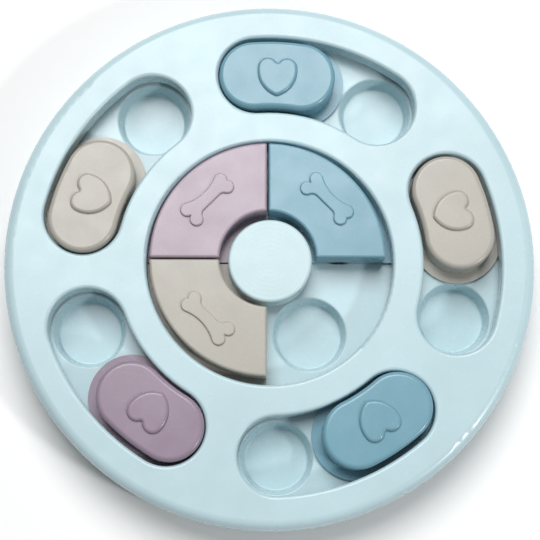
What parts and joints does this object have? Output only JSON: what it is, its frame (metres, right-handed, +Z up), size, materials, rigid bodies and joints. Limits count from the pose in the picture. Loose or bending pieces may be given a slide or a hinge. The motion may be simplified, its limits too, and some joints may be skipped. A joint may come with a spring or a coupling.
{
  "type": "dog puzzle feeder toy",
  "caption": "Round treat puzzle for dogs: a low disc with sliding covers in bent slots and sectors that turn round a hub over treat cups.",
  "frame": {"origin": "under the hub, at the height that the feet stand on", "axes": "+Z up out of the top face; +Y towards the far side in the usual view, +X to the right"},
  "size_m": [0.245, 0.245, 0.0352],
  "materials": {
    "body_plastic": "satin pale blue moulded plastic",
    "steel_blue": "satin steel blue moulded plastic",
    "mauve": "satin mauve moulded plastic",
    "pale_mauve": "satin light mauve moulded plastic",
    "beige": "satin beige moulded plastic",
    "foot_rubber": "matt grey rubber",
    "screw_steel": "zinc plated steel"
  },
  "bodies": {
    "root": {"top_cover": "body_plastic", "base_tray": "body_plastic", "outer_cups": "body_plastic", "inner_cups": "body_plastic", "hub_cap": "body_plastic", "foot_1": "foot_rubber", "foot_2": "foot_rubber", "foot_3": "foot_rubber", "foot_4": "foot_rubber", "foot_5": "foot_rubber", "outer_cover_screws": "screw_steel", "inner_cover_screws": "screw_steel", "hub_screw": "screw_steel"},
    "slider_1": {"heart_slider_1": "steel_blue"},
    "slider_2": {"heart_slider_2": "beige"},
    "slider_3": {"heart_slider_3": "mauve"},
    "slider_4": {"heart_slider_4": "steel_blue"},
    "slider_5": {"heart_slider_5": "beige"},
    "sector_1": {"bone_sector_1": "steel_blue"},
    "sector_2": {"bone_sector_2": "pale_mauve"},
    "sector_3": {"bone_sector_3": "beige"}
  },
  "joints": [
    {"name": "slider_1_slide", "type": "hinge", "parent": "root", "child": "slider_1", "pos_m": [0, 0, 0], "axis": [0, 0, 1], "range_deg": [-25.6, 0]},
    {"name": "slider_2_slide", "type": "hinge", "parent": "root", "child": "slider_2", "pos_m": [0, 0, 0], "axis": [0, 0, 1], "range_deg": [-25.6, 0]},
    {"name": "slider_3_slide", "type": "hinge", "parent": "root", "child": "slider_3", "pos_m": [0, 0, 0], "axis": [0, 0, 1], "range_deg": [-25.6, 0]},
    {"name": "slider_4_slide", "type": "hinge", "parent": "root", "child": "slider_4", "pos_m": [0, 0, 0], "axis": [0, 0, 1], "range_deg": [-25.6, 0]},
    {"name": "slider_5_slide", "type": "hinge", "parent": "root", "child": "slider_5", "pos_m": [0, 0, 0], "axis": [0, 0, 1], "range_deg": [-25, 0.6]},
    {"name": "sector_ring_turn", "type": "hinge", "parent": "root", "child": "sector_2", "pos_m": [0, 0, 0], "axis": [0, 0, 1], "continuous": true},
    {"name": "sector_1_turn", "type": "hinge", "parent": "sector_2", "child": "sector_1", "pos_m": [0, 0, 0], "axis": [0, 0, 1], "range_deg": [-90, 0]},
    {"name": "sector_3_turn", "type": "hinge", "parent": "sector_2", "child": "sector_3", "pos_m": [0, 0, 0], "axis": [0, 0, 1], "range_deg": [0, 90]}
  ]
}
